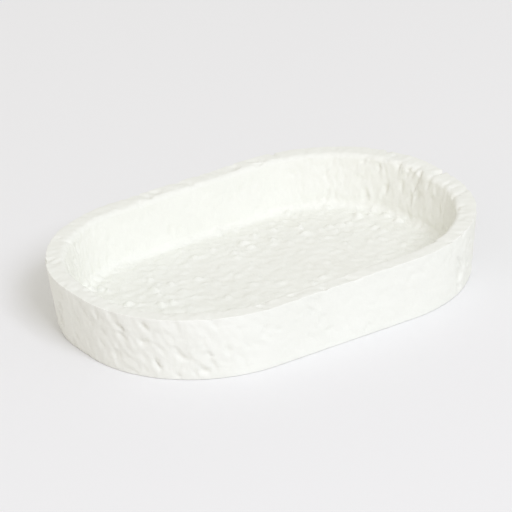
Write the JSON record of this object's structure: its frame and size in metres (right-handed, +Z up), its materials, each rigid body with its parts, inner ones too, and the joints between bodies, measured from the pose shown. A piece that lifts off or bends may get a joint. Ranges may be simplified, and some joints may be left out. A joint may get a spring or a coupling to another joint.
{
  "type": "soap dish",
  "caption": "Low open soap dish: a rounded rectangular tray cast in rough matt white stone-like resin, with a flared well, a rounded rim and non-slip pads under its flat base.",
  "frame": {"origin": "on the table, under the middle of the dish", "axes": "+X along the long sides, +Y to the back long side, +Z up out of the well"},
  "size_m": [0.1418, 0.0988, 0.022],
  "materials": {
    "cast_resin": "matt, rough cast",
    "silicone_pad": "satin, translucent"
  },
  "bodies": {
    "root": {"dish_body": "cast_resin", "foot_pad_front_left": "silicone_pad", "foot_pad_front_right": "silicone_pad", "foot_pad_back_left": "silicone_pad", "foot_pad_back_right": "silicone_pad"}
  },
  "joints": []
}
